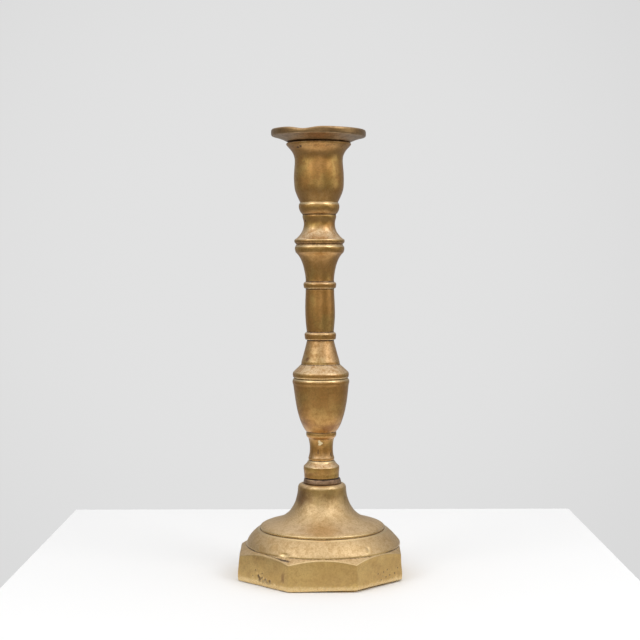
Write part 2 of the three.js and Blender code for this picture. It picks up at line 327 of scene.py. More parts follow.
class Shader:
    """A material's node tree, with short ways to add the nodes that this script uses."""

    def __init__(self, name):
        self.material = bpy.data.materials.new(name)
        self.material.use_nodes = True
        self.tree = self.material.node_tree
        self.tree.nodes.clear()
        self.surface = self.tree.nodes.new("ShaderNodeBsdfPrincipled")
        output = self.tree.nodes.new("ShaderNodeOutputMaterial")
        self.link(self.surface.outputs["BSDF"], output.inputs["Surface"])
        coordinates = self.tree.nodes.new("ShaderNodeTexCoord")
        scale = self.tree.nodes.new("ShaderNodeMapping")
        scale.inputs["Scale"].default_value = (1 / MM, 1 / MM, 1 / MM)
        self.link(coordinates.outputs["Object"], scale.inputs["Vector"])
        self.place = scale.outputs["Vector"]   # millimetres

    def link(self, source, target):
        if hasattr(source, "is_output"):
            self.tree.links.new(source, target)
        else:
            target.default_value = source

    def mapped(self, setting, value):
        """Where each point is, after one setting of a mapping: Location or Scale."""
        node = self.tree.nodes.new("ShaderNodeMapping")
        node.inputs[setting].default_value = value
        self.link(self.place, node.inputs["Vector"])
        return node.outputs["Vector"]

    def noise(self, size, detail=3.0, rough=0.55, distortion=0.0, place=None):
        node = self.tree.nodes.new("ShaderNodeTexNoise")
        node.inputs["Scale"].default_value = 1 / size
        node.inputs["Detail"].default_value = detail
        node.inputs["Roughness"].default_value = rough
        node.inputs["Distortion"].default_value = distortion
        self.link(self.place if place is None else place, node.inputs["Vector"])
        return node.outputs["Fac"]

    def pits(self, size):
        node = self.tree.nodes.new("ShaderNodeTexVoronoi")
        node.inputs["Scale"].default_value = 1 / size
        self.link(self.place, node.inputs["Vector"])
        return node.outputs["Distance"]

    def layer(self, name):
        node = self.tree.nodes.new("ShaderNodeAttribute")
        node.attribute_name = name
        return node.outputs["Fac"]

    def math(self, operation, a, b=0.0, clamp=False):
        node = self.tree.nodes.new("ShaderNodeMath")
        node.operation = operation
        node.use_clamp = clamp
        self.link(a, node.inputs[0])
        self.link(b, node.inputs[1])
        return node.outputs[0]

    def plus(self, value, other, share):
        """The value with a share of another added."""
        return self.math("ADD", value, self.math("MULTIPLY", other, share))

    def ragged(self, value, noise, amount, clamp=False):
        """The value pushed up and down by a noise."""
        swing = self.math("MULTIPLY", self.math("SUBTRACT", noise, NOISE_MEAN), amount)
        return self.math("ADD", value, swing, clamp)

    def ramp(self, value, start, end, low_value=0.0, high_value=1.0):
        return map_range(self.tree, value, start, end, low_value, high_value)

    def mix(self, factor, a, b):
        node = self.tree.nodes.new("ShaderNodeMix")
        node.data_type = "RGBA"
        self.link(factor, node.inputs[0])
        self.link(a if hasattr(a, "is_output") else (*a, 1.0), node.inputs[6])
        self.link(b if hasattr(b, "is_output") else (*b, 1.0), node.inputs[7])
        return node.outputs[2]

    def bump(self, height):
        """Raises the surface by a height in millimetres."""
        node = self.tree.nodes.new("ShaderNodeBump")
        node.inputs["Distance"].default_value = MM
        self.link(height, node.inputs["Height"])
        self.link(node.outputs["Normal"], self.surface.inputs["Normal"])


NOISE_MEAN = 0.5

# What lies on the brass, or shows where it is rubbed: the grime and soot also paint shade, the rubbed colour
# also paints highlights, and the cream is a painted glint
SOOT_AND_SHADE = (0.03, 0.018, 0.01)
GRIME_AND_SHADE_BROWN = (0.15, 0.08, 0.032)
WORN_AND_HIGHLIGHT = (0.84, 0.63, 0.32)
RUST = (0.20, 0.075, 0.03)
GLINT_CREAM = (0.95, 0.77, 0.44)

# Noises in the brass, as (size in millimetres, detail, roughness, distortion)
BROAD = (13.0, 3.0, 0.55)
CLOUD = (4.0, 5.0, 0.6, 0.5)
MOTTLE = (1.5, 4.0, 0.65, 0.3)
GRAIN = (0.8, 3.0, 0.65)
LATHE_LINES = (0.7, 2.0, 0.5)
LATHE_STRETCH = (0.06, 0.06, 2.4)
PIT_SPACING = 1.3

# Ramps in the brass: where each starts and ends, then the values it runs between if not 0 and 1
PAINTED_TOP_LIGHT = (0.0, 0.55, 0.0, 0.9)
PAINTED_UNDERSIDE_SHADE = (0.05, -0.45, 0.0, 0.8)
WARM_PATCHES = (0.38, 0.62)
BROWN_BLOTCHES = (0.44, 0.62)
BROWN_GRAIN = (0.42, 0.7, 0.0, 0.55)
PIT_EDGE = (0.15, 0.05)
PITTED_BLOTCHES = (0.5, 0.62)
GRIME_AND_SHADE_BROWN_RAMP = (0.2, 0.6, 0.0, 0.75)
GRIME_AND_SHADE_BLACK_RAMP = (0.5, 0.9, 0.0, 0.9)
ROUGH_DUST = (0.2, 0.7, 0.0, 0.2)
WORN_AND_HIGHLIGHT_RAMP = (0.25, 0.8)
STAINED = (0.3, 0.8)
GLINT_RAMP = (0.4, 0.6)

# How much of each shows, how far the noises push its edge about, and what it does to the roughness
BLOTCH_CLOUD, BLOTCH_MOTTLE = 0.6, 0.4
PIT_SOOT, WORN_AND_HIGHLIGHT_SHARE, RUST_SHARE = 0.55, 0.75, 0.6
GRIME_AND_SHADE_RAGGED, WORN_AND_HIGHLIGHT_RAGGED, STAIN_RAGGED, GLINT_RAGGED = 0.6, 1.0, 0.8, 1.2
BROWN_ROUGH, UPWARD_ROUGH, RUBBED_ROUGH, GRAIN_ROUGH = 0.08, 0.12, -0.2, 0.25
LACQUER, LACQUER_ROUGHNESS = 0.6, 0.32
# How far each texture raises the surface, in millimetres
MOTTLE_RISE, GRAIN_RISE, LATHE_RISE, PIT_RISE = 0.05, 0.022, 0.014, -0.05
SEED_DIRECTION = (1.0, 0.7, 1.3)


def brass(name, clean, warm, patina, pale, painted_underside, blotchy=0.7, rough=0.39, seed=0.0):
    """Aged brass, paler where it faces up (painted top light) and redder where it faces down (painted
    underside shade), with grime and soot that also paint shade, rubbed edges that also paint highlights, and
    a cream patch that is a painted glint.
    """
    s = Shader(name)
    s.place = s.mapped("Location", [seed * part for part in SEED_DIRECTION])
    broad = s.noise(*BROAD)
    cloud = s.noise(*CLOUD)
    mottle = s.noise(*MOTTLE)
    grain = s.noise(*GRAIN)

    facing = s.tree.nodes.new("ShaderNodeNewGeometry")
    split = s.tree.nodes.new("ShaderNodeSeparateXYZ")
    s.link(facing.outputs["Normal"], split.inputs[0])
    # Painted top light: the paler colour where the surface faces up
    upward = s.ramp(split.outputs["Z"], *PAINTED_TOP_LIGHT)
    # Painted underside shade: the redder colour where the surface faces down
    downward = s.ramp(split.outputs["Z"], *PAINTED_UNDERSIDE_SHADE)

    metal = s.mix(s.ramp(broad, *WARM_PATCHES), clean, warm)
    metal = s.mix(upward, metal, pale)
    metal = s.mix(downward, metal, painted_underside)
    blotch = s.plus(s.math("MULTIPLY", cloud, BLOTCH_CLOUD), mottle, BLOTCH_MOTTLE)
    brown = s.ramp(blotch, *BROWN_BLOTCHES)
    metal = s.mix(s.math("MULTIPLY", brown, blotchy), metal, patina)
    metal = s.mix(s.ramp(grain, *BROWN_GRAIN), metal, patina)
    speck = s.ramp(s.pits(PIT_SPACING), *PIT_EDGE)
    speck = s.math("MULTIPLY", speck, s.ramp(blotch, *PITTED_BLOTCHES))
    metal = s.mix(s.math("MULTIPLY", speck, PIT_SOOT), metal, SOOT_AND_SHADE)
    # Grime and soot in the grooves and joints, which also paint shade in the hollows and under edges
    grime_and_shade = s.ragged(s.layer("groove"), mottle, GRIME_AND_SHADE_RAGGED)
    grime_and_shade = s.ragged(grime_and_shade, grain, GRIME_AND_SHADE_RAGGED)
    metal = s.mix(s.ramp(grime_and_shade, *GRIME_AND_SHADE_BROWN_RAMP), metal, GRIME_AND_SHADE_BROWN)
    metal = s.mix(s.ramp(grime_and_shade, *GRIME_AND_SHADE_BLACK_RAMP), metal, SOOT_AND_SHADE)
    # Rubbed brass on the edges, its pale colour also a painted highlight
    worn_and_highlit = s.ramp(s.ragged(s.layer("edge"), mottle, WORN_AND_HIGHLIGHT_RAGGED), *WORN_AND_HIGHLIGHT_RAMP)
    metal = s.mix(s.math("MULTIPLY", worn_and_highlit, WORN_AND_HIGHLIGHT_SHARE), metal, WORN_AND_HIGHLIGHT)
    stained = s.ramp(s.ragged(s.layer("stain"), cloud, STAIN_RAGGED), *STAINED)
    metal = s.mix(s.math("MULTIPLY", stained, RUST_SHARE), metal, RUST)
    # Painted glint: a cream patch that is not metal
    glint = s.ramp(s.ragged(s.layer("glint"), mottle, GLINT_RAGGED), *GLINT_RAMP)
    metal = s.mix(glint, metal, GLINT_CREAM)
    s.link(metal, s.surface.inputs["Base Color"])
    s.link(s.math("SUBTRACT", 1.0, glint), s.surface.inputs["Metallic"])

    roughness = s.plus(rough, brown, BROWN_ROUGH)
    roughness = s.plus(roughness, upward, UPWARD_ROUGH)
    roughness = s.math("ADD", roughness, s.ramp(grime_and_shade, *ROUGH_DUST))
    roughness = s.plus(roughness, worn_and_highlit, RUBBED_ROUGH)
    roughness = s.ragged(roughness, grain, GRAIN_ROUGH, clamp=True)
    s.link(roughness, s.surface.inputs["Roughness"])
    s.surface.inputs["Coat Weight"].default_value = LACQUER
    s.surface.inputs["Coat Roughness"].default_value = LACQUER_ROUGHNESS

    lathe = s.noise(*LATHE_LINES, place=s.mapped("Scale", LATHE_STRETCH))
    height = s.math("MULTIPLY", mottle, MOTTLE_RISE)
    for texture, rise in ((grain, GRAIN_RISE), (lathe, LATHE_RISE), (speck, PIT_RISE)):
        height = s.plus(height, texture, rise)
    s.bump(height)
    return s.material


IRON_DARK = (0.075, 0.065, 0.06)
IRON_RUSTY = (0.13, 0.06, 0.03)
IRON_BARE = (0.25, 0.22, 0.2)
IRON_CLOUD = (3.0, 5.0, 0.65)
IRON_GRAIN = (0.5, 3.0, 0.6)
IRON_RUST = (0.42, 0.62)
IRON_BARE_EDGES = (0.2, 0.8, 0.0, 0.5)
IRON_ROUGHNESS = (0.2, 0.8, 0.5, 0.8)
IRON_METALLIC = 0.85
IRON_RISE = 0.06


def iron(name):
    """Dark oxidised iron with a little rust, and paler on its edges."""
    s = Shader(name)
    cloud = s.noise(*IRON_CLOUD)
    grain = s.noise(*IRON_GRAIN)
    colour = s.mix(s.ramp(cloud, *IRON_RUST), IRON_DARK, IRON_RUSTY)
    colour = s.mix(s.ramp(s.layer("edge"), *IRON_BARE_EDGES), colour, IRON_BARE)
    s.link(colour, s.surface.inputs["Base Color"])
    s.surface.inputs["Metallic"].default_value = IRON_METALLIC
    s.link(s.ramp(grain, *IRON_ROUGHNESS), s.surface.inputs["Roughness"])
    s.bump(s.math("MULTIPLY", grain, IRON_RISE))
    return s.material


# In each brass, the fourth colour (pale) is painted top light and the fifth is painted underside shade
FOOT_BRASS = brass(
    "foot_brass",
    clean=(0.64, 0.43, 0.145), warm=(0.58, 0.37, 0.115), patina=(0.46, 0.275, 0.085),
    pale=(0.70, 0.51, 0.28), painted_underside=(0.66, 0.45, 0.17), blotchy=0.5, rough=0.41,
)
STEM_BRASS = brass(
    "stem_brass",
    clean=(0.69, 0.43, 0.115), warm=(0.66, 0.33, 0.08), patina=(0.45, 0.22, 0.048),
    pale=(0.79, 0.61, 0.38), painted_underside=(0.60, 0.33, 0.11), seed=31.0,
)
PAN_BRASS = brass(
    "pan_brass",
    clean=(0.42, 0.25, 0.09), warm=(0.36, 0.20, 0.07), patina=(0.25, 0.14, 0.05),
    pale=(0.44, 0.29, 0.15), painted_underside=(0.52, 0.34, 0.17), seed=57.0,
)
COLLAR_BRASS = brass(
    "collar_brass",
    clean=(0.38, 0.235, 0.125), warm=(0.31, 0.18, 0.095), patina=(0.18, 0.10, 0.05),
    pale=(0.44, 0.28, 0.17), painted_underside=(0.32, 0.16, 0.075), rough=0.5, seed=83.0,
)
IRON = iron("iron")


def finish_piece(piece, node, body, material):
    piece.data.materials.append(material)
    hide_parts(node)
    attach(piece, body)


# -------------------------------------------------------------------- foot

SIDES = 8
SECTOR = 2 * math.pi / SIDES
FLAT_DISTANCE = 46.0
FOOT_TURN = math.radians(-1.0)
SKIRT_DRAFT = 0.075
SKIRT_WALL = 3.2
CORNER_SHARPNESS = 330.0
# How far each flat was cast off its place, from the flat that faces +X round through +Y
FLAT_DRIFT = (-1.3, -0.6, 0.0, 0.8, 1.7, 0.1, 0.0, -0.4)
DOME_DRIFT = 0.5

# The outer lower edge doesn't touch the table: it clears it a little all round, and more on one side
EDGE_CLEARANCE = 0.3
EDGE_LIFT = 1.0
EDGE_LIFT_AT = math.radians(305)
EDGE_LIFT_SPREAD = 0.7

DOME_RADIUS = 44.0
DOME_Z = 18.4
SHOULDER_RADIUS = DOME_RADIUS + 0.1
SHOULDER_Z = 17.6
SHOULDER_SLOPE = 0.64
SAUCER_LIP = (35.8, 26.5)
NECK_RADIUS = 13.7
SPIGOT_HOLE = 5.3    # radius of the hole that takes a spigot, here and in the cup
SPIGOT_HOLE_Z = 48.0
ROD_HOLE = 3.3       # radius of the hole for the rod, here and in the iron pieces and the cup
ROOF_Z = 43.5
ROOF_RADIUS = 10.0
BELL_EDGE = (41.0, 14.8)
INNER_WALL_TOP = 12.0
BELL_STEP = 0.8

# Rows of vertices up the skirt and down its inner wall
SKIRT_ROWS = 62
INNER_ROWS = 22
EVEN_SHARE, CROWDED_SHARE = 0.45, 0.55   # of even spacing round a flat, and of crowding at its corners
FOOT_ROUNDING = 0.22


def flat_radius(angle, height, inset):
    """Radius of the eight-sided skirt, its corners a little round, and how near each angle is to a corner."""
    nearest = np.zeros_like(angle)
    second = np.zeros_like(angle)
    for k, drift in enumerate(FLAT_DRIFT):
        distance = FLAT_DISTANCE + drift - SKIRT_DRAFT * height - inset
        facing = np.cos(angle - FOOT_TURN - k * SECTOR).clip(0.05) / distance
        second = np.maximum(second, np.minimum(nearest, facing))
        nearest = np.maximum(nearest, facing)
    # A power mean of the two nearest flats rounds the corner between them
    ratio = second / nearest
    rounded = nearest * (1 + ratio ** CORNER_SHARPNESS) ** (1 / CORNER_SHARPNESS)
    return 1 / rounded, ratio ** (CORNER_SHARPNESS / 4)


def dome_outline():
    """From the dome's edge up over the saucer and the neck, and down the inside of the bell."""
    path = Outline(SHOULDER_RADIUS, SHOULDER_Z)
    path.line(DOME_RADIUS - 0.2, SHOULDER_Z + 0.1)
    path.line(DOME_RADIUS - 0.1, DOME_Z)
    path.bend(41.9, 22.0, 38.8, 24.9, 36.9, 26.2)
    path.curve(36.2, 26.9, *SAUCER_LIP)
    path.line(35.3, 26.5)
    path.line(35.2, 27.1)
    path.curve(35.7, 27.9, 34.9, 28.2)
    path.bend(33.2, 29.6, 28.1, 30.3, 24.7, 31.85)
    path.bend(17.8, 34.8, 13.9, 40.8, NECK_RADIUS, foot_top - 2.2)
    path.curve(13.5, foot_top - 0.5, 11.4, foot_top)
    path.line(SPIGOT_HOLE, foot_top)
    path.line(SPIGOT_HOLE, SPIGOT_HOLE_Z, HIDDEN)
    path.line(ROD_HOLE, SPIGOT_HOLE_Z, HIDDEN)
    path.line(ROD_HOLE, ROOF_Z, HIDDEN)
    path.line(ROOF_RADIUS, ROOF_Z)
    path.line(ROOF_RADIUS, 41.0)
    path.bend(ROOF_RADIUS, 37.0, 12.6, 33.8, 18.0, 30.6, BELL_STEP)
    path.bend(22.0, 28.4, 28.0, 25.8, 33.4, 23.6, BELL_STEP)
    path.bend(36.2, 21.8, 39.2, 18.8, *BELL_EDGE, BELL_STEP)
    return path


def skirt_points(theta):
    """The skirt's outside at one angle, from its inner lower edge up to the shoulder, and its inner wall."""
    def radius_at(height, inset=0.0):
        return float(flat_radius(np.array([theta]), height, inset)[0][0])

    base, inner = radius_at(0.0), radius_at(0.0, SKIRT_WALL)
    corner_z = 15.0
    for _ in range(4):   # closes in on where the flat meets the sloping shoulder
        corner_r = radius_at(corner_z)
        corner_z = SHOULDER_Z - SHOULDER_SLOPE * (corner_r - SHOULDER_RADIUS)
    away = (theta % (2 * math.pi) - EDGE_LIFT_AT) / EDGE_LIFT_SPREAD
    lift = EDGE_LIFT * math.exp(-away ** 2) + EDGE_CLEARANCE
    # The foot stands on the inner part of its rim, and the outer part is undercut
    outside = Outline(inner, 0.0)
    outside.line(inner + 0.5, 0.0).line(inner + 0.7, lift).line(base - 0.45, lift)
    outside.curve(base - 0.05, lift + 1.2, base - 0.25, lift + 3.6)
    outside.line(corner_r, corner_z).line(SHOULDER_RADIUS, SHOULDER_Z)
    inside = Outline(*BELL_EDGE)
    inside.line(radius_at(INNER_WALL_TOP, SKIRT_WALL), INNER_WALL_TOP).line(inner, 0.0)
    return evenly(outside.arrays()[0], FINE)[0], evenly(inside.arrays()[0], FINE)[0]


def foot_angles():
    """Angles of the foot's vertices, closer together towards the corners."""
    u = np.linspace(-1, 1, FOOT_AROUND // SIDES, endpoint=False)
    within = 0.5 * SECTOR * (EVEN_SHARE * u + CROWDED_SHARE * np.sin(0.5 * math.pi * u))
    return np.concatenate([FOOT_TURN + k * SECTOR + within for k in range(SIDES)])


def foot_skin():
    dome, steps = dome_outline().arrays()
    dome, steps = evenly(dome, FINE, steps)
    travelled = np.concatenate([[0], np.cumsum(FINE / steps[1:])])
    dome_at = np.linspace(0, travelled[-1], round(travelled[-1]) + 1)
    middle = np.interp(dome_at, travelled, np.arange(len(dome)))
    angle = foot_angles()
    columns = []
    for theta in angle:
        outside, inside = skirt_points(theta)
        whole = np.concatenate([outside, dome[1:], inside[1:]])
        soft = softened(whole, FOOT_ROUNDING, True)
        groove = wear_of_shape(soft, True, *CAST_GROOVES)
        edge = wear_of_shape(soft, True, *CAST_EDGES)
        outside_end = len(outside) - 1
        dome_end = outside_end + len(dome) - 1
        where = np.concatenate([
            np.linspace(0, outside_end, SKIRT_ROWS + 1)[:-1],
            outside_end + middle,
            dome_end + np.linspace(0, len(inside) - 1, INNER_ROWS + 1)[1:-1],
        ])
        index = np.arange(len(soft))
        columns.append([np.interp(where, index, values) for values in (*soft.T, groove, edge)])
    radius, height, groove, edge = (np.stack([column[k] for column in columns], 1) for k in range(4))
    return Skin(radius, height, angle, groove, edge, 0.0)


# Wear on the foot that follows its shape
SKIRT_TOP_Z = 16.5
CORNER_SHINE = 0.3
LOWER_SHINE = 0.75
LOWER_SHINE_Z = 1.2
LOWER_SHINE_TALL = 2.9
UNDER_EDGE = (45.0, 2.0)     # inside this radius and below this height, the undercut gets painted shade
UNDER_EDGE_SHADE = 0.9
DOME_BELT_TALL = 2.5
DOME_BELT_INNER = 36.0
RIB_TALL = 0.45
COLLAR_SEAT_RADIUS = 11.6
COLLAR_SEAT_DIRT = 0.5


def mark_foot_wear_and_light(skin):
    """Rubs the corners and the skirt's lower edge, paints shade in the undercut and a highlight on the
    saucer's rib, and leaves dirt where nothing rubs.
    """
    radius, height = skin.radius, skin.height
    on_skirt = (height < SKIRT_TOP_Z) & (np.arange(len(radius))[:, None] < SKIRT_ROWS)
    cornered = flat_radius(skin.angle[0], 0.0, 0.0)[1]
    skin.edge = np.maximum(skin.edge, CORNER_SHINE * cornered[None] * on_skirt)
    lower = np.exp(-((height - LOWER_SHINE_Z) / LOWER_SHINE_TALL) ** 2)
    skin.edge = np.maximum(skin.edge, LOWER_SHINE * lower * on_skirt)
    # Painted shade in the undercut under the skirt's outer edge
    under_edge = (height < UNDER_EDGE[1]) & (radius < UNDER_EDGE[0]) & on_skirt
    skin.groove = np.maximum(skin.groove, UNDER_EDGE_SHADE * under_edge)
    # Painted highlight along the saucer's rib, with its grime taken off
    rib_radius, rib_z = SAUCER_LIP[0] - 0.05, SAUCER_LIP[1] - 0.05
    rib = np.exp(-((height - rib_z) / RIB_TALL) ** 2) * (radius > rib_radius)
    skin.groove = skin.groove * (1 - rib)
    skin.edge = np.maximum(skin.edge, rib)
    under_collar = (height > foot_top - 0.5) & (radius < COLLAR_SEAT_RADIUS)
    skin.groove = np.maximum(skin.groove, COLLAR_SEAT_DIRT * under_collar)
    skin.edge *= 1 - under_collar


def shift_dome(skin):
    """Moves the dome's lower edge sideways, as it was cast."""
    belt = np.exp(-((skin.height - DOME_Z) / DOME_BELT_TALL) ** 2) * (skin.radius > DOME_BELT_INNER)
    skin.radius += DOME_DRIFT * np.cos(skin.angle) * belt


# Casting pits on the flats and bright flecks round them, as (azimuth, height, size)
FOOT_PITS = (
    (-52, 5.8, 1.0), (-50.5, 4.0, 1.5), (-48, 5.2, 0.9), (-47, 3.3, 1.2), (-44.5, 4.4, 1.2),
    (-43, 2.9, 1.0), (-40.5, 3.9, 1.3), (-55, 8.4, 0.7), (-48, 7.4, 0.6), (-57, 5.0, 0.6),
    (41, 7.4, 0.5), (44, 3.8, 0.6), (47, 7.7, 0.7), (49, 4.7, 0.7), (53, 5.3, 0.8), (51, 8.5, 0.5),
    (58, 5.7, 0.7), (61, 8.2, 0.5), (46, 5.6, 0.5), (55, 3.4, 0.6),
)
PIT_ACROSS, PIT_TALL, PIT_DEPTH, PIT_DIRT = 0.7, 0.9, 0.35, 0.8
FOOT_FLECKS = (
    (-53, 7.0, 1.0), (-50, 6.2, 0.8), (-47, 5.0, 1.0), (-44, 4.8, 0.9), (-39, 4.8, 0.8),
    (-57, 4.5, 0.7), (46, 5.5, 0.6), (50, 6.5, 0.8), (55, 7.0, 0.7), (59, 4.2, 0.7),
)
FLECK_ACROSS, FLECK_SHINE = 0.6, 0.5

# A crease in the casting on the shoulder, which widens and darkens as it runs to the right
CREASE_START = (-46, 17.3)   # azimuth, height
CREASE_RUN = (21, -1.0)
CREASE_MARKS = 14
CREASE_ACROSS = 1.2

# Rows of wear, dirt and painted light here and below are (layer, height, tall, amount) for a band all the way
# round, and (layer, height, tall, amount, azimuth, across) for a mark in one place
FOOT_STAINS = (
    ("stain", 7.5, 4.0, 0.75, -28, 1.6),
    ("stain", 15.0, 1.6, 0.5, -52, 9.0),
    ("stain", 8.0, 5.0, 0.35, 56, 6.0),
    ("stain", 10.0, 4.0, 0.3, -42, 8.0),
    ("edge", 6.0, 3.0, 0.1, -50, 7.0),
    ("stain", 31.6, 1.3, 0.4, -34, 5.0),
    ("stain", 26.0, 6.0, 0.35, 60, 9.0),
    ("stain", 24.0, 6.0, 0.35, -75, 9.0),
    ("stain", 46.0, 7.0, 0.45),
    ("stain", 45.0, 6.0, 0.4, -55, 6.0),
)
SHOULDER_CREASES = (
    ("groove", 17.8, 0.5, 0.3, -67, 7.0),
    ("groove", 18.0, 0.5, 0.3, 59, 8.0),
)
# A chip on the left: rubbed brass with a painted highlight, its grime taken off
LEFT_CHIP = (
    ("groove", 18.3, 0.7, -1.0, -30.5, 2.6),
    ("edge", 18.4, 0.7, 1.0, -30.5, 2.2),
)
RIGHT_CHIP_AND_NECK = (
    # A chip on the right (the next two rows): rubbed brass with a painted highlight
    ("edge", 20.7, 1.1, 1.0, 35, 0.7),
    ("edge", 19.4, 0.5, 0.8, 33, 1.6),
    ("edge", 51.7, 0.5, 1.0, -19, 1.6),
    ("edge", 51.6, 0.5, 0.9, 25, 1.5),
)


def foot():
    skin = foot_skin()
    mark_foot_wear_and_light(skin)
    shift_dome(skin)
    skin.uneven(size=16.0, amount=0.35, seed=3.0)
    skin.uneven(size=4.0, amount=0.09, seed=9.0)
    skin.marks(FOOT_STAINS)
    for azimuth, height, size in FOOT_PITS:
        across = PIT_ACROSS * size
        skin.dent(height, PIT_TALL * size, PIT_DEPTH * size, azimuth, across)
        skin.mark("groove", height, size, PIT_DIRT, azimuth, across)
    for azimuth, height, size in FOOT_FLECKS:
        skin.mark("edge", height, size, FLECK_SHINE, azimuth, FLECK_ACROSS * size)
    for along in np.linspace(0, 1, CREASE_MARKS):
        azimuth = CREASE_START[0] + CREASE_RUN[0] * along
        height = CREASE_START[1] + CREASE_RUN[1] * along
        skin.dent(height, 0.35 + 0.15 * along, 0.2, azimuth, CREASE_ACROSS)
        skin.mark("groove", height, 0.3 + 0.2 * along, 0.35 + 0.15 * along, azimuth, CREASE_ACROSS)
    skin.marks(SHOULDER_CREASES)
    skin.dent(height=19.0, tall=0.8, depth=0.55, azimuth=-30.5, across=2.4)
    skin.marks(LEFT_CHIP)
    skin.dent(height=21.4, tall=1.0, depth=0.4, azimuth=35, across=0.9)
    skin.marks(RIGHT_CHIP_AND_NECK)
    piece = mesh_of("brass_foot", skin, True)
    finish_piece(piece, "foot", "candlestick", FOOT_BRASS)


# ----------------------------------------------------------- turned sections

ROD_WAY = 3.4        # radius of the way through the sections for the rod
SPIGOT = 5.0         # radius of the spigots under the vase and on top of the stem
INNER = 1.0          # vertex spacing on the inner faces that show only a little

COLLAR_TALL = 2.7
COLLAR_HOLE = 5.4
COLLAR_FOOT_WEAR = (
    ("groove", 0.0, 0.4, 0.6),
    ("edge", 0.0, 0.6, -1.0),
)
COLLAR_TOP_WEAR = (
    ("groove", 0.0, 0.65, 1.0),
    ("edge", 0.0, 0.8, -1.0),
)


def collar():
    top = COLLAR_TALL + SEAT
    path = Outline(COLLAR_HOLE, -SEAT)
    path.line(10.3, -SEAT).curve(10.85, 0.0, 10.75, 0.7)
    path.line(10.35, 2.1).curve(10.25, 2.55, 9.9, 2.65)
    path.line(9.6, top).line(COLLAR_HOLE, top, INNER).line(COLLAR_HOLE, -SEAT, INNER)
    skin = turned(path, collar_z, rounding=0.1)
    skin.uneven(size=5.0, amount=0.18, seed=2.0)
    skin.aside = 0.3
    skin.marks(COLLAR_FOOT_WEAR, collar_z - SEAT)
    skin.marks(COLLAR_TOP_WEAR, collar_z + top)
    skin.mark("edge", collar_z + 2.2, 0.4, 0.7, -45, 5.0)   # a painted highlight on the upper edge, on the left
    piece = mesh_of("brass_collar", skin, True)
    finish_piece(piece, "foot_collar", "candlestick", COLLAR_BRASS)


VASE_LIP = 56.7      # the rims meet on the outside above the faces that carry the load
VASE_SEAT = 51.6
VASE_RECESS = 6.3
VASE_WEAR_AND_LIGHT = (
    ("groove", 0.0, 0.3, 1.0),
    ("edge", 0.0, 0.5, -1.0),
    # Painted highlight on the shelf above the drum
    ("edge", 9.3, 0.5, 1.0),
    ("stain", 30.5, 4.0, 0.5),
    ("edge", 56.0, 0.45, 0.6),
    ("groove", VASE_LIP, 0.35, 1.0),
    # Painted glint: the cream patch on the waist (the next three rows)
    ("glint", 21.3, 0.9, 0.9, -12, 0.9),
    ("glint", 20.3, 0.8, 0.9, -3, 1.0),
    ("glint", 19.4, 0.6, 0.9, -11, 0.9),
    ("stain", 3.0, 2.5, 0.45),
    ("stain", 28.5, 2.0, 0.5, 22, 3.5),
    ("stain", 34.0, 8.0, 0.35, -50, 4.0),
    ("groove", 15.2, 1.7, 0.8, -18, 0.4),
    ("groove", 13.4, 1.2, 0.9, 51, 0.6),
)


def vase():
    path = Outline(ROD_WAY, -FOOT_SPIGOT_LENGTH)
    path.line(SPIGOT, -FOOT_SPIGOT_LENGTH, HIDDEN).line(SPIGOT, 0.0, HIDDEN)
    # Drum, with a rounded top
    path.line(9.9, 0.0).line(9.9, 2.4).curve(10.4, 6.4, 10.0, 6.6)
    path.bend(9.0, 7.4, 8.5, 8.0, 8.05, 8.7).curve(7.8, 9.5, 7.3, 9.6)
    # Waist, up to its bead
    path.line(7.15, 10.1).curve(7.5, 10.5, 7.45, 11.3)
    path.bend(6.5, 13.5, 6.1, 18.5, 7.3, 22.4).line(8.2, 23.3).curve(8.95, 25.0, 8.4, 26.1)
    # Vase and its rim
    path.bend(13.2, 31.5, 14.8, 43.6, 15.75, 52.9)
    path.curve(16.15, 54.2, 16.15, 54.9).curve(16.05, 56.2, 15.2, VASE_LIP)
    path.line(VASE_RECESS, VASE_LIP, INNER).line(VASE_RECESS, VASE_SEAT, HIDDEN)
    path.line(ROD_WAY, VASE_SEAT, HIDDEN).line(ROD_WAY, -FOOT_SPIGOT_LENGTH, HIDDEN)
    skin = turned(path, vase_z, rounding=0.2)
    skin.uneven(size=9.0, amount=0.12, seed=5.0)
    skin.uneven(size=2.5, amount=0.04, seed=8.0)
    # A small bump stands a little proud of the waist, under the painted glint
    skin.dent(height=vase_z + 18.9, tall=1.5, depth=-0.4, azimuth=-8, across=1.6)
    skin.marks(VASE_WEAR_AND_LIGHT, vase_z)
    piece = mesh_of("brass_vase", skin, True)
    finish_piece(piece, "vase_section", "candlestick", STEM_BRASS)


STEM_SPIGOT = 6.0
STEM_SPIGOT_Z = -4.3
STEM_LIP = 75.9
STEM_TOP = 79.9
STEM_NECKS = (7.7, 8.1)      # radii of the necks below the two rings
STEM_RINGS = (9.05, 9.4)
STEM_RIM_WEAR = (
    ("groove", 0.0, 0.3, 1.0),
    ("edge", 0.6, 0.25, 0.7),
    ("edge", 3.7, 0.25, 0.5),
    ("groove", 2.0, 0.8, 0.25),
)
STEM_WEAR = (
    ("groove", 22.1, 0.35, 0.4),
    ("groove", 51.2, 0.35, 0.4),
    ("stain", 69.5, 2.2, 0.35),
    ("stain", 11.0, 1.4, 0.9, -49, 1.6),
    ("groove", 12.0, 0.6, 0.6, -46, 0.6),
    ("stain", 33.0, 6.0, 0.35, -30, 4.0),
    ("groove", 76.0, 0.25, 0.6),
    ("edge", 75.1, 0.45, 0.8),
    ("groove", 71.1, 0.3, 0.3),
)


def stem_ring(path, neck, ring, bottom, top):
    path.line(neck - 0.1, bottom)
    path.line(ring - 0.7, bottom + 0.15)
    path.curve(ring - 0.3, bottom + 0.3, ring - 0.25, bottom + 1.0)
    path.line(ring - 0.05, top - 1.9)
    path.curve(ring, top - 0.5, ring - 1.1, top - 0.3)
    path.line(neck, top)


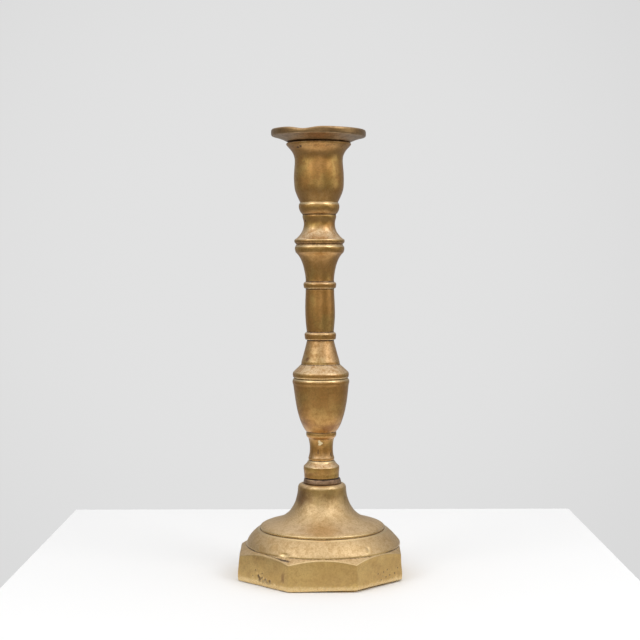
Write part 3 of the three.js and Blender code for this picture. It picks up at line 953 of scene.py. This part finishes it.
def stem():
    rim = vase_z + VASE_LIP + 0.05 - stem_z
    lip = STEM_LIP + SEAT
    path = Outline(ROD_WAY, STEM_SPIGOT_Z)
    path.line(STEM_SPIGOT, STEM_SPIGOT_Z, HIDDEN).line(STEM_SPIGOT, rim, HIDDEN).line(14.9, rim, INNER)
    # Rim on the vase, and the shoulder above it
    path.line(15.3, rim + 0.1).line(15.8, rim + 0.8).line(16.0, rim + 2.0)
    path.curve(16.0, rim + 3.3, 15.35, rim + 3.8).bend(14.0, 5.4, 12.6, 6.7, 11.1, 8.0)
    path.line(10.95, 8.4).line(10.85, 9.6)
    # Necks and rings, with the barrel between
    path.bend(10.5, 10.8, 8.3, 18.4, STEM_NECKS[0], 21.4)
    stem_ring(path, STEM_NECKS[0], STEM_RINGS[0], 22.0, 26.6)
    path.bend(9.12, 40.2, 8.12, 42.6, STEM_NECKS[1], 50.2)
    stem_ring(path, STEM_NECKS[1], STEM_RINGS[1], 51.1, 55.1)
    # Flare and its ring
    path.bend(7.8, 57.0, 9.1, 68.2, 13.4, 71.4).curve(14.35, 73.5, 13.85, 74.9)
    path.line(13.35, 75.5).line(13.35, lip).line(SPIGOT, lip, INNER)
    path.line(SPIGOT, STEM_TOP, HIDDEN).line(ROD_WAY, STEM_TOP, HIDDEN)
    path.line(ROD_WAY, STEM_SPIGOT_Z, HIDDEN)
    skin = turned(path, stem_z)
    skin.uneven(size=9.0, amount=0.1, seed=1.0)
    skin.uneven(size=2.5, amount=0.025, seed=4.0)
    skin.marks(STEM_RIM_WEAR, stem_z + rim)
    skin.marks(STEM_WEAR, stem_z)
    piece = mesh_of("brass_stem", skin, True)
    finish_piece(piece, "stem_section", "candlestick", STEM_BRASS)


CUP_ROD_END_Z = 18.5
CUP_RECESS_Z = 4.1
CUP_SOCKET_Z = 28.5
CUP_SOCKET = 11.3
CUP_MOUTH = 12.3
CUP_TOP = 57.2
CUP_STEP = 0.8       # vertex spacing inside the cup
CUP_WEAR_AND_LIGHT = (
    ("groove", 0.4, 0.5, 0.55),
    ("edge", 0.0, 0.8, -1.0),
    # Painted highlight on the top of the bead
    ("edge", 23.0, 0.6, 1.0),
    ("groove", 1.5, 0.5, 0.4),
    # The stain at 54.5 and the grooves at CUP_TOP and 54.8 are painted shade on the lip under the drip pan
    ("stain", 54.5, 2.2, 0.35),
    ("groove", 23.6, 0.5, -1.0),
    ("groove", CUP_TOP, 0.5, 0.4),
    ("groove", 54.8, 1.6, 0.28),
    ("edge", CUP_TOP, 1.6, -1.0),
    ("groove", 12.9, 0.55, 1.0, -62, 0.55),
)
CUP_NICKS = (
    ("groove", 53.8, 0.4, 0.9, -46, 0.8),
    ("groove", 54.3, 0.5, 0.8, -38, 0.6),
    ("groove", 46.0, 0.35, 0.8, -38, 0.35),
    ("groove", 39.6, 0.4, 0.8, -62, 0.4),
)


def cup():
    # Blind hole for the rod, and the recess for the stem's spigot
    path = Outline(0.0, CUP_ROD_END_Z)
    path.line(ROD_HOLE, CUP_ROD_END_Z, HIDDEN).line(ROD_HOLE, CUP_RECESS_Z, HIDDEN)
    path.line(SPIGOT_HOLE, CUP_RECESS_Z, HIDDEN).line(SPIGOT_HOLE, 0.0, HIDDEN)
    # Ring, hollow neck and bead
    path.line(13.3, 0.0, INNER).line(13.6, 0.5).line(14.0, 0.8).curve(14.5, 1.8, 14.15, 2.6)
    path.line(13.2, 3.2).bend(10.4, 5.4, 8.8, 8.2, 8.8, 11.7).bend(8.8, 13.2, 9.4, 14.2, 9.6, 15.8)
    path.line(9.42, 16.4).line(9.46, 16.9).bend(10.7, 17.7, 11.45, 19.6, 11.5, 21.0)
    path.curve(11.6, 22.9, 10.6, 23.5)
    # Tulip, its lip, and the socket inside
    path.line(10.8, 23.8).bend(13.9, 30.6, 13.9, 30.3, 14.1, 37.0)
    path.bend(14.1, 41.7, 13.6, 44.8, 13.6, 47.4).bend(13.8, 52.6, 17.3, 54.2, 18.4, 56.2)
    path.line(18.2, 56.8).line(17.6, CUP_TOP).line(CUP_MOUTH, CUP_TOP)
    path.line(CUP_MOUTH, 44.6, CUP_STEP).line(CUP_SOCKET, 43.6, CUP_STEP)
    path.line(CUP_SOCKET, CUP_SOCKET_Z, CUP_STEP).line(0.0, CUP_SOCKET_Z, CUP_STEP)
    skin = turned(path, cup_z, rounding=0.2, closed=False)
    skin.uneven(size=9.0, amount=0.09, seed=6.0)
    skin.uneven(size=2.5, amount=0.025, seed=7.0)
    skin.marks(CUP_WEAR_AND_LIGHT, cup_z)
    skin.dent(height=cup_z + 12.9, tall=0.45, depth=0.5, azimuth=-62, across=0.45)
    skin.marks(CUP_NICKS, cup_z)
    piece = mesh_of("brass_cup", skin, False)
    finish_piece(piece, "candle_cup", "candlestick", STEM_BRASS)


PAN_AROUND = 240
PAN_TILT = math.radians(0.7)
SLEEVE = (11.1, 12.0)        # inner and outer radius
PAN_FLOOR = 2.0
# The soft dip in the rim, with the height above which the rim follows it
DIP_AZIMUTH = -20.0
DIP_DEGREES = 14.0
DIP_DEPTH = 1.3
DIP_FROM = 5.0
DIP_FADE = 0.5
PAN_SHINE = 0.4


def pan():
    hole, sleeve = SLEEVE
    path = Outline(hole, -SLEEVE_LENGTH)
    path.line(sleeve, -SLEEVE_LENGTH).line(sleeve, 0.0)
    # Underside, rim and upper face
    path.line(17.8, 0.0).line(18.4, 0.3).curve(21.4, 1.9, 26.2, 3.0).curve(26.8, 3.3, 26.8, 4.0)
    path.line(26.8, 5.6).curve(26.7, 6.8, 25.9, 6.9).line(25.2, 6.7).curve(24.4, 5.5, 18.7, 2.4)
    path.line(13.0, PAN_FLOOR).line(hole, PAN_FLOOR).line(hole, -SLEEVE_LENGTH)
    skin = turned(path, pan_z, rounding=0.22, around=PAN_AROUND)
    skin.uneven(size=12.0, amount=0.2, seed=2.0)
    rim = 1 / (1 + np.exp(-(skin.height - pan_z - DIP_FROM) / DIP_FADE))
    swing = (np.degrees(skin.angle) + 90 - DIP_AZIMUTH + 180) % 360 - 180
    skin.height -= DIP_DEPTH * rim * np.exp(-(swing / DIP_DEGREES) ** 2)
    skin.height -= PAN_TILT * skin.radius * np.cos(skin.angle)
    # Painted shade on the underside where the pan meets the cup
    skin.mark("groove", pan_z, 0.4, 0.35)
    skin.edge *= PAN_SHINE
    piece = mesh_of("brass_pan", skin, True)
    finish_piece(piece, "drip_pan", "pan", PAN_BRASS)


# ---------------------------------------------------------- rod, washer, nut

ROD_RADIUS = 3.0
ROD_CHAMFER = 0.5
ROD_AROUND = 48
THREAD_STEP = 0.2    # vertex spacing along the thread
THREAD_PITCH = 1.0
THREAD_DEPTH = 0.3
THREAD_LENGTH = 16.0
WASHER_RADIUS = 7.0
WASHER_TALL = 1.4
WASHER_AROUND = 96
NUT_HALF_FLATS = 5.0
NUT_CHAMFER_SLOPE = 1.6
NUT_AROUND = 144


def rod():
    length = high("tie_rod") - rod_z
    path = Outline(0.0, 0.0)
    path.line(ROD_RADIUS - ROD_CHAMFER, 0.0).line(ROD_RADIUS, ROD_CHAMFER)
    path.line(ROD_RADIUS, THREAD_LENGTH, THREAD_STEP).line(ROD_RADIUS, length - ROD_CHAMFER, HIDDEN)
    path.line(ROD_RADIUS - ROD_CHAMFER, length).line(0.0, length)
    skin = turned(path, rod_z, rounding=0.08, closed=False, around=ROD_AROUND)
    up = skin.height - rod_z
    turns = up / THREAD_PITCH - skin.angle / (2 * math.pi)
    ridge = np.abs((turns % 1) * 2 - 1)
    threaded = (up < THREAD_LENGTH) & (skin.radius > ROD_RADIUS - 0.2)
    skin.radius -= THREAD_DEPTH * ridge * threaded
    piece = mesh_of("iron_rod", skin, False)
    finish_piece(piece, "tie_rod", "candlestick", IRON)


def ring_outline(radius, tall):
    path = Outline(ROD_HOLE, 0.0)
    return path.line(radius, 0.0).line(radius, tall).line(ROD_HOLE, tall).line(ROD_HOLE, 0.0)


def washer():
    skin = turned(ring_outline(WASHER_RADIUS, WASHER_TALL), washer_z, rounding=0.12, around=WASHER_AROUND)
    skin.uneven(size=4.0, amount=0.08)
    piece = mesh_of("iron_washer", skin, True)
    finish_piece(piece, "tie_washer", "candlestick", IRON)


def nut():
    tall = high("tie_nut") - nut_z
    skin = turned(ring_outline(NUT_HALF_FLATS + 0.8, tall), nut_z, rounding=0.1, around=NUT_AROUND)
    facing = np.cos((skin.angle + math.pi / 6) % (math.pi / 3) - math.pi / 6)
    up = skin.height - nut_z
    chamfer = NUT_HALF_FLATS - 0.1 + NUT_CHAMFER_SLOPE * np.minimum(up, tall - up)
    outer = np.minimum(NUT_HALF_FLATS / facing, np.maximum(chamfer, ROD_HOLE))
    skin.radius = np.minimum(skin.radius, outer)
    piece = mesh_of("iron_nut", skin, True)
    finish_piece(piece, "tie_nut", "candlestick", IRON)


foot()
collar()
vase()
stem()
cup()
pan()
rod()
washer()
nut()


# ------------------------------------------------------------ floor and light

CAMERA_DISTANCE = 0.7661
CAMERA_HEIGHT = 0.1805
CAMERA_TURN = math.radians(-1.5)
CAMERA_PITCH = math.radians(2.63)
CAMERA_ROLL = math.radians(-0.12)
CAMERA_ASIDE = -0.00136
CAMERA_LENS = 75.94
CAMERA_SENSOR = 36.0

PLINTH_HALF_WIDTH = 0.177
PLINTH_FRONT = -0.156
PLINTH_BACK = 0.198
PLINTH_DEPTH = 0.4
PLINTH_WHITE = (0.95, 0.95, 0.95, 1)


def plinth():
    sides = (-PLINTH_HALF_WIDTH, PLINTH_HALF_WIDTH)
    corners = [(x, PLINTH_FRONT) for x in sides] + [(x, PLINTH_BACK) for x in reversed(sides)]
    vertices = [(x, y, z) for z in (-PLINTH_DEPTH, 0.0) for x, y in corners]
    faces = [(4, 5, 6, 7), (3, 2, 1, 0), (0, 1, 5, 4), (1, 2, 6, 5), (2, 3, 7, 6), (3, 0, 4, 7)]
    mesh = bpy.data.meshes.new("plinth")
    mesh.from_pydata(vertices, [], faces)
    slab = bpy.data.objects.new("plinth", mesh)
    slab.rotation_euler.z = CAMERA_TURN   # the plinth stands square to the camera
    bpy.context.scene.collection.objects.link(slab)
    paint = Shader("plinth_paint")
    paint.surface.inputs["Base Color"].default_value = PLINTH_WHITE
    paint.surface.inputs["Roughness"].default_value = 0.9
    paint.surface.inputs["Specular IOR Level"].default_value = 0.1
    mesh.materials.append(paint.material)


# Softboxes, as (name, azimuth, elevation, distance, size, power); azimuth 0 is the viewer's side
SOFTBOXES = (
    ("top_softbox", 0, 86, 0.9, 0.9, 0.5),
    ("left_softbox", -52, 38, 1.1, 0.55, 2.1),
    ("right_softbox", 52, 38, 1.1, 0.55, 2.8),
    ("front_softbox", 0, 52, 1.1, 0.8, 0.6),
    ("back_softbox", 180, 50, 1.1, 0.8, 1.0),
    ("low_front_softbox", 0, 10, 1.2, 0.8, 1.1),
    ("low_left_softbox", -40, 12, 1.2, 0.6, 0.6),
    ("left_side_softbox", -80, 12, 1.1, 0.8, 0.5),
    ("right_side_softbox", 80, 12, 1.1, 0.8, 1.1),
)
LIGHTS_AIM_Z = 0.1


def softbox(name, azimuth, elevation, distance, size, power):
    lamp = bpy.data.lights.new(name, "AREA")
    lamp.shape = "DISK"
    lamp.size = size
    lamp.energy = power
    light = bpy.data.objects.new(name, lamp)
    a, e = math.radians(azimuth), math.radians(elevation)
    away = Vector((math.sin(a) * math.cos(e), -math.cos(a) * math.cos(e), math.sin(e)))
    light.location = Vector((0, 0, LIGHTS_AIM_Z)) + distance * away
    light.rotation_euler = away.to_track_quat("Z", "Y").to_euler()
    light.visible_camera = False
    bpy.context.scene.collection.objects.link(light)


# How bright the room is, from straight down (0) to straight up (1)
ROOM = ((0.35, 0.24), (0.45, 0.04), (0.60, 0.02), (0.70, 0.40), (0.82, 0.55), (0.95, 1.0))
ROOM_TOP = 1.2
BACKDROP_LIGHT = 0.38
BACKDROP_SPREAD = (0.1, 0.6)     # how far round towards +Y its light comes in and is full
BACKDROP_SEEN = (0.69, 0.76)     # what the camera sees, from its sides to straight ahead
BACKDROP_FALL = (0.93, 1.0)


def surroundings():
    """A room with a pale grey wall behind, dark to the front and brighter above."""
    world = bpy.data.worlds.new("room")
    bpy.context.scene.world = world
    world.use_nodes = True
    tree = world.node_tree
    tree.nodes.clear()

    def node(kind, **settings):
        made = tree.nodes.new("ShaderNode" + kind)
        for key, value in settings.items():
            setattr(made, key, value)
        return made

    split = node("SeparateXYZ")
    tree.links.new(node("TexCoord").outputs["Generated"], split.inputs[0])
    rise = map_range(tree, split.outputs["Z"], -1.0, 1.0, kind="LINEAR")
    room = node("ValToRGB")
    stops = room.color_ramp.elements
    while len(stops) < len(ROOM):
        stops.new(0.5)
    for stop, (position, level) in zip(stops, ROOM):
        stop.position = position
        stop.color = (level, level, level, 1)
    tree.links.new(rise, room.inputs["Fac"])
    front = node("Math", operation="MULTIPLY")
    front.inputs[1].default_value = ROOM_TOP
    tree.links.new(room.outputs["Color"], front.inputs[0])
    wall = map_range(tree, split.outputs["Y"], *BACKDROP_SPREAD, 0.0, BACKDROP_LIGHT)
    brightest = node("Math", operation="MAXIMUM")
    tree.links.new(front.outputs[0], brightest.inputs[0])
    tree.links.new(wall, brightest.inputs[1])
    lit = node("Background")
    tree.links.new(brightest.outputs[0], lit.inputs["Strength"])
    fall = map_range(tree, split.outputs["Y"], *BACKDROP_FALL, *BACKDROP_SEEN)
    seen = node("Background")
    seen.inputs["Color"].default_value = (1, 1, 1, 1)
    tree.links.new(fall, seen.inputs["Strength"])
    mixer = node("MixShader")
    tree.links.new(node("LightPath").outputs["Is Camera Ray"], mixer.inputs[0])
    tree.links.new(lit.outputs[0], mixer.inputs[1])
    tree.links.new(seen.outputs[0], mixer.inputs[2])
    tree.links.new(mixer.outputs[0], node("OutputWorld").inputs["Surface"])


plinth()
surroundings()
for box in SOFTBOXES:
    softbox(*box)


# ------------------------------------------------------------------- camera

def camera():
    lens = bpy.data.cameras.new("camera")
    lens.lens = CAMERA_LENS
    lens.sensor_width = CAMERA_SENSOR
    eye = bpy.data.objects.new("camera", lens)
    ahead = Vector((-math.sin(CAMERA_TURN), math.cos(CAMERA_TURN), 0))
    aside = Vector((math.cos(CAMERA_TURN), math.sin(CAMERA_TURN), 0))
    place = -CAMERA_DISTANCE * ahead + CAMERA_ASIDE * aside + Vector((0, 0, CAMERA_HEIGHT))
    turn = Matrix.Rotation(CAMERA_TURN, 4, "Z")
    tilt = Matrix.Rotation(math.pi / 2 - CAMERA_PITCH, 4, "X")
    roll = Matrix.Rotation(CAMERA_ROLL, 4, "Z")
    eye.matrix_world = Matrix.Translation(place) @ turn @ tilt @ roll
    bpy.context.scene.collection.objects.link(eye)
    bpy.context.scene.camera = eye


camera()
bpy.context.scene.view_settings.view_transform = "Standard"
